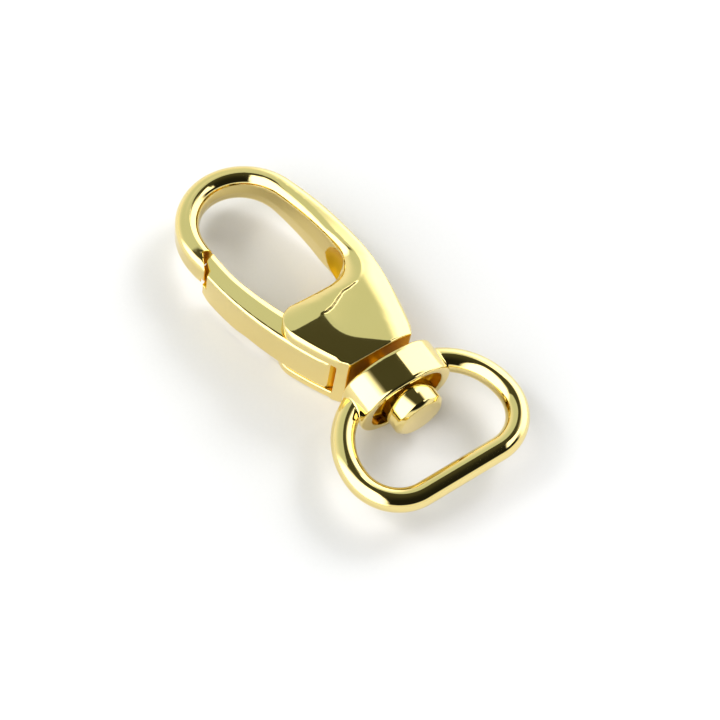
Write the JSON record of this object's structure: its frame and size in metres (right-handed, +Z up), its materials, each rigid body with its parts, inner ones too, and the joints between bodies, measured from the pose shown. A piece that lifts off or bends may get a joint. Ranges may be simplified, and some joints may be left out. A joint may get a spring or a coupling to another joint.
{
  "type": "swivel hook",
  "caption": "Small plated swivel hook: a flat cast loop with a sprung swinging gate, and a round-wire strap eye that turns freely on the shank's post.",
  "frame": {"origin": "middle of the part's length and width, on the surface that it lies on", "axes": "+X along the swivel axis towards the strap eye, +Y towards the closed side of the hook, +Z up out of the flat of the hook"},
  "size_m": [0.0346, 0.017, 0.0065],
  "materials": {
    "gold_plate": "mirror-polished zinc casting with pale gold plating",
    "spring_steel": "bright drawn steel"
  },
  "bodies": {
    "hook": {"hook_body": "gold_plate", "gate_pin": "spring_steel", "gate_spring": "spring_steel", "swivel_post": "gold_plate"},
    "gate": {"gate": "gold_plate"},
    "eye": {"swivel_eye": "gold_plate"}
  },
  "joints": [
    {"name": "gate_hinge", "type": "hinge", "parent": "hook", "child": "gate", "pos_m": [0.00258, -0.00336, 0.00325], "axis": [0, 0, -1], "range_deg": [0, 28], "stiffness_Nm_per_rad": 0.012, "springref_deg": -22.92, "deforming": ["gate_spring"]},
    {"name": "eye_swivel", "type": "hinge", "parent": "hook", "child": "eye", "pos_m": [0.0062, 0, 0.00325], "axis": [1, 0, 0], "continuous": true}
  ]
}
